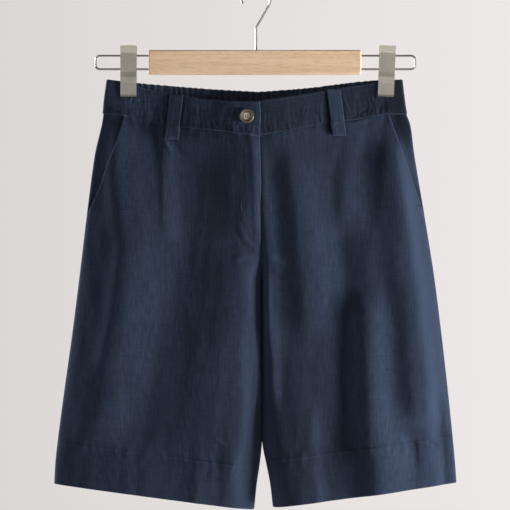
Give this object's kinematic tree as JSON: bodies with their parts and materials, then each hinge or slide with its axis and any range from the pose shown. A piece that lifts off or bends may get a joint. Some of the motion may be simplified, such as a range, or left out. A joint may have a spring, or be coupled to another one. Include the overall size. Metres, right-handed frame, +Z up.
{
  "type": "bermuda shorts on a clip hanger",
  "caption": "Knee-length linen shorts with a buttoned waistband, belt loops, slanted pockets and deep hems, held by two clips on a wooden bar hanger.",
  "frame": {"origin": "inside top of the hanger's hook, where a rail or a peg carries it", "axes": "+Z up, -Y out of the front of the shorts, the wearer's right towards -X"},
  "size_m": [0.5018, 0.0752, 0.6548],
  "materials": {
    "linen": "plain-weave linen, matt, slightly faded",
    "button_horn": "mottled horn, polished",
    "beech": "pale beech, satin",
    "steel_wire": "satin nickel",
    "clip_steel": "brushed, warm grey"
  },
  "bodies": {
    "root": {"front_right": "linen", "front_left": "linen", "back_right": "linen", "back_left": "linen", "pocket_facing_right": "linen", "pocket_facing_left": "linen", "fly_underlap": "linen", "waistband_front_right": "linen", "waistband_front_left": "linen", "waistband_back": "linen", "belt_loop_front_right": "linen", "belt_loop_front_left": "linen", "belt_loop_back_right": "linen", "belt_loop_back_middle": "linen", "belt_loop_back_left": "linen", "hem_right": "linen", "hem_left": "linen", "button": "button_horn", "hanger_bar": "beech", "hanger_hook": "steel_wire", "hanger_wire_right": "steel_wire", "hanger_wire_left": "steel_wire", "clip_slider_right": "clip_steel", "clip_jaw_right_front": "clip_steel", "clip_jaw_right_back": "clip_steel", "clip_slider_left": "clip_steel", "clip_jaw_left_front": "clip_steel", "clip_jaw_left_back": "clip_steel"}
  },
  "joints": []
}
